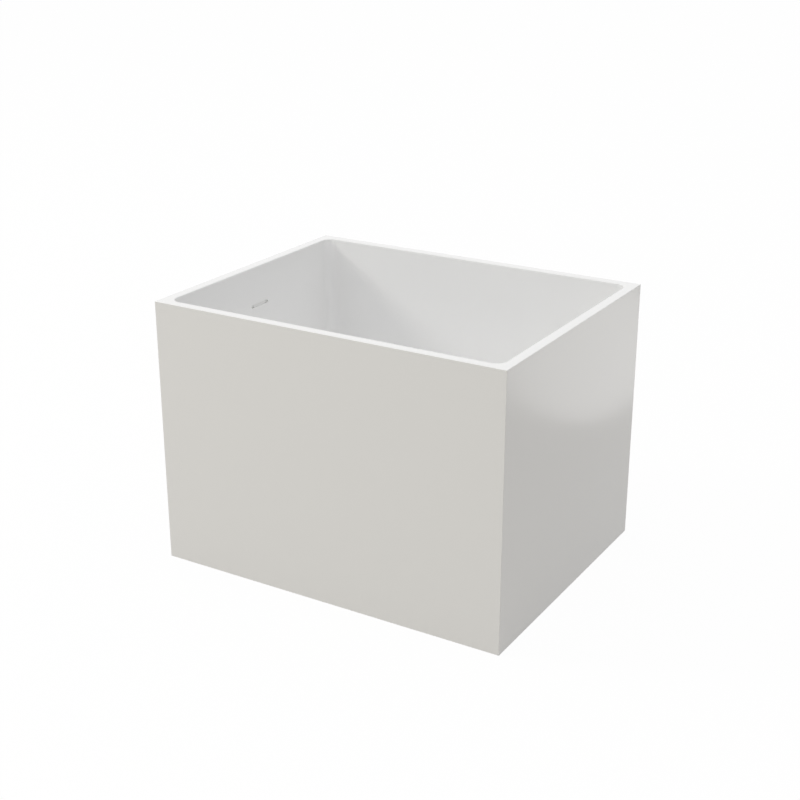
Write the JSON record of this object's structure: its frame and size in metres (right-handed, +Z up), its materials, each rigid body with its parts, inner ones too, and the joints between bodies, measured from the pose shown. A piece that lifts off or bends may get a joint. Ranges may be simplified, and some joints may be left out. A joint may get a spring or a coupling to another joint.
{
  "type": "acrylic bathtub",
  "caption": "Free-standing rectangular soaking tub in white acrylic with flat mitred skirts, narrow flat rim, slot overflow, lift-up waste stopper and screw levelling feet.",
  "frame": {"origin": "middle of the footprint, on the floor", "axes": "+X along the tub's length, away from the overflow and waste end; +Y across the tub; +Z up"},
  "size_m": [0.9, 0.7, 0.65],
  "materials": {
    "acrylic": "gloss",
    "laminate": "matte",
    "plywood": "matte",
    "galvanised_steel": "satin",
    "zinc_plate": "satin",
    "foot_rubber": "matte",
    "chrome": "polished",
    "seal_rubber": "matte",
    "grey_plastic": "satin",
    "hose_plastic": "satin",
    "white_plastic": "gloss",
    "stainless": "satin"
  },
  "bodies": {
    "tub": {"basin_shell": "acrylic", "skirt_front": "acrylic", "skirt_right": "acrylic", "skirt_back": "acrylic", "skirt_left": "acrylic", "basin_laminate": "laminate", "skirt_laminate": "laminate", "rim_rail_front": "plywood", "rim_rail_right": "plywood", "rim_rail_back": "plywood", "rim_rail_left": "plywood", "foot_batten_front": "plywood", "foot_batten_right": "plywood", "foot_batten_back": "plywood", "foot_batten_left": "plywood", "base_board": "plywood", "board_packers": "plywood", "long_rail_front": "galvanised_steel", "long_rail_back": "galvanised_steel", "cross_rail_left": "galvanised_steel", "cross_rail_middle": "galvanised_steel", "cross_rail_right": "galvanised_steel", "rail_clips": "galvanised_steel", "clip_screws": "zinc_plate", "board_screws": "zinc_plate", "foot_weld_nuts": "zinc_plate", "foot_lock_nuts": "zinc_plate", "waste_flange": "chrome", "waste_flange_seal": "seal_rubber", "waste_under_seal": "seal_rubber", "tail_washer": "seal_rubber", "overflow_gasket": "seal_rubber", "waste_body": "grey_plastic", "tail_pipe": "grey_plastic", "tail_nut": "grey_plastic", "stopper_guide": "grey_plastic", "overflow_box": "grey_plastic", "overflow_hose": "hose_plastic", "overflow_cover": "white_plastic", "hose_clip_upper": "stainless", "hose_clip_lower": "stainless"},
    "stopper": {"stopper_cap": "chrome", "stopper_seal": "seal_rubber", "stopper_stem": "chrome"},
    "foot_1_pad": {"foot_1_pad": "foot_rubber"},
    "foot_1_stem": {"foot_1_stem": "zinc_plate"},
    "foot_2_pad": {"foot_2_pad": "foot_rubber"},
    "foot_2_stem": {"foot_2_stem": "zinc_plate"},
    "foot_3_pad": {"foot_3_pad": "foot_rubber"},
    "foot_3_stem": {"foot_3_stem": "zinc_plate"},
    "foot_4_pad": {"foot_4_pad": "foot_rubber"},
    "foot_4_stem": {"foot_4_stem": "zinc_plate"}
  },
  "joints": [
    {"name": "stopper_lift", "type": "slide", "parent": "tub", "child": "stopper", "axis": [0, 0, 1], "range_m": [0, 0.0085]},
    {"name": "foot_1_height", "type": "slide", "parent": "tub", "child": "foot_1_pad", "axis": [0, 0, -1], "range_m": [-0.01, 0.02]},
    {"name": "foot_1_turn", "type": "hinge", "parent": "foot_1_pad", "child": "foot_1_stem", "pos_m": [-0.37, -0.2, 0], "axis": [0, 0, 1], "range_deg": [-4116, 2059]},
    {"name": "foot_2_height", "type": "slide", "parent": "tub", "child": "foot_2_pad", "axis": [0, 0, -1], "range_m": [-0.01, 0.02]},
    {"name": "foot_2_turn", "type": "hinge", "parent": "foot_2_pad", "child": "foot_2_stem", "pos_m": [0.37, -0.2, 0], "axis": [0, 0, 1], "range_deg": [-4116, 2059]},
    {"name": "foot_3_height", "type": "slide", "parent": "tub", "child": "foot_3_pad", "axis": [0, 0, -1], "range_m": [-0.01, 0.02]},
    {"name": "foot_3_turn", "type": "hinge", "parent": "foot_3_pad", "child": "foot_3_stem", "pos_m": [0.37, 0.2, 0], "axis": [0, 0, 1], "range_deg": [-4116, 2059]},
    {"name": "foot_4_height", "type": "slide", "parent": "tub", "child": "foot_4_pad", "axis": [0, 0, -1], "range_m": [-0.01, 0.02]},
    {"name": "foot_4_turn", "type": "hinge", "parent": "foot_4_pad", "child": "foot_4_stem", "pos_m": [-0.37, 0.2, 0], "axis": [0, 0, 1], "range_deg": [-4116, 2059]}
  ],
  "couplings": [
    {"joint": "foot_1_turn", "follows": "foot_1_height", "rad_per_m": -3590.4},
    {"joint": "foot_2_turn", "follows": "foot_2_height", "rad_per_m": -3590.4},
    {"joint": "foot_3_turn", "follows": "foot_3_height", "rad_per_m": -3590.4},
    {"joint": "foot_4_turn", "follows": "foot_4_height", "rad_per_m": -3590.4}
  ]
}
